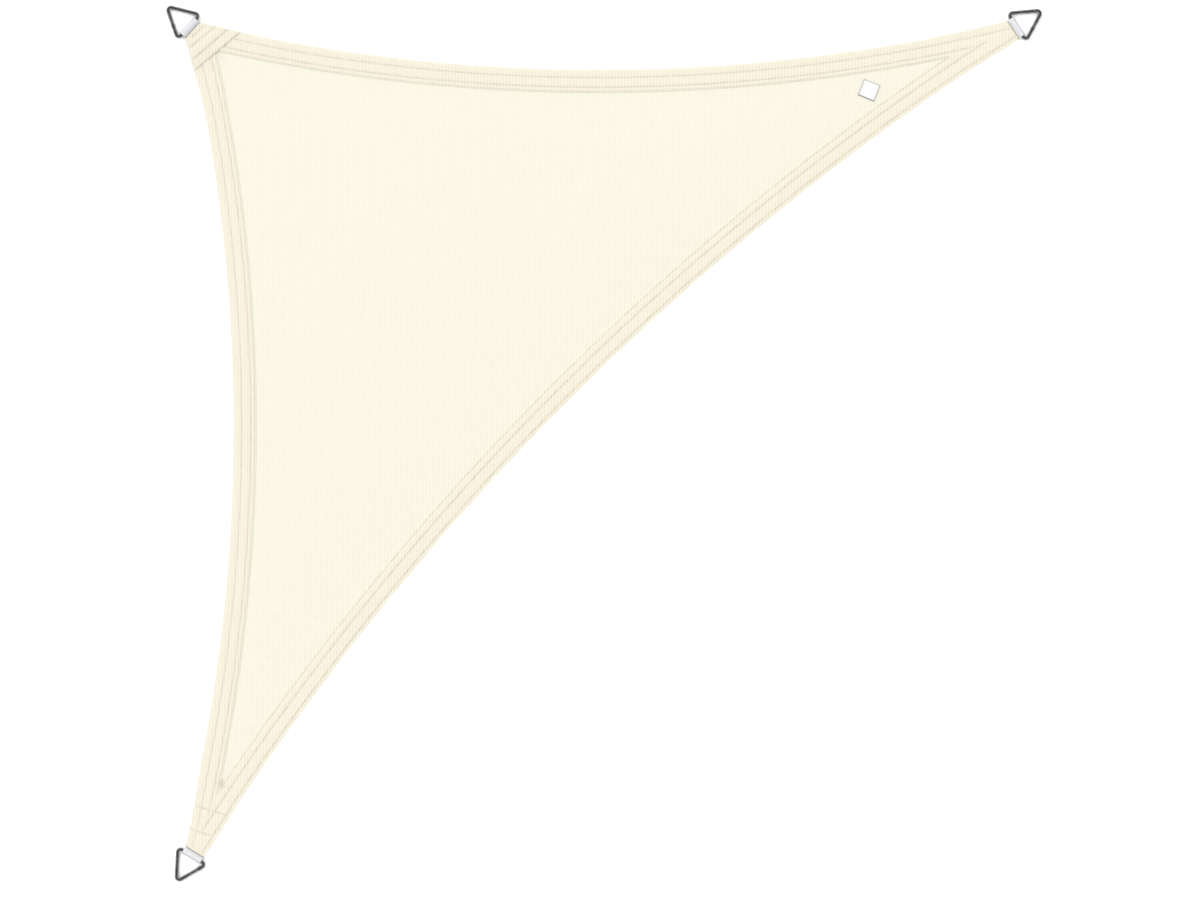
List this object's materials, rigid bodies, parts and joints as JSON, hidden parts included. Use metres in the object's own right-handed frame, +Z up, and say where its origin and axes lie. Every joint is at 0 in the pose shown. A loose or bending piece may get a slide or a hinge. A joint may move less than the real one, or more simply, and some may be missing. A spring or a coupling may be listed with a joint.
{
  "type": "shade sail",
  "caption": "Right-angled triangular shade sail of knitted cloth with hollow-cut hemmed edges, laid flat, with a webbing loop and a welded triangular ring at every corner.",
  "frame": {"origin": "centre of the square that the rings reach, on the surface that the sail lies on", "axes": "+Z up out of the cloth, the right angle towards -X +Y, the long edge facing +X -Y, the two equal edges along X and along Y"},
  "size_m": [2, 2, 0.0128],
  "materials": {
    "shade_cloth": "cream knitted polyethylene shade cloth, matt, with fine upright ribs",
    "webbing": "light grey-white woven polyester webbing",
    "steel": "polished stainless steel round rod, welded",
    "label": "smooth white woven label, blank"
  },
  "bodies": {
    "root": {"shade_cloth": "shade_cloth", "corner_patch": "shade_cloth", "webbing_square": "webbing", "webbing_foot": "webbing", "webbing_right": "webbing", "ring_square": "steel", "ring_foot": "steel", "ring_right": "steel", "blank_label": "label"}
  },
  "joints": []
}
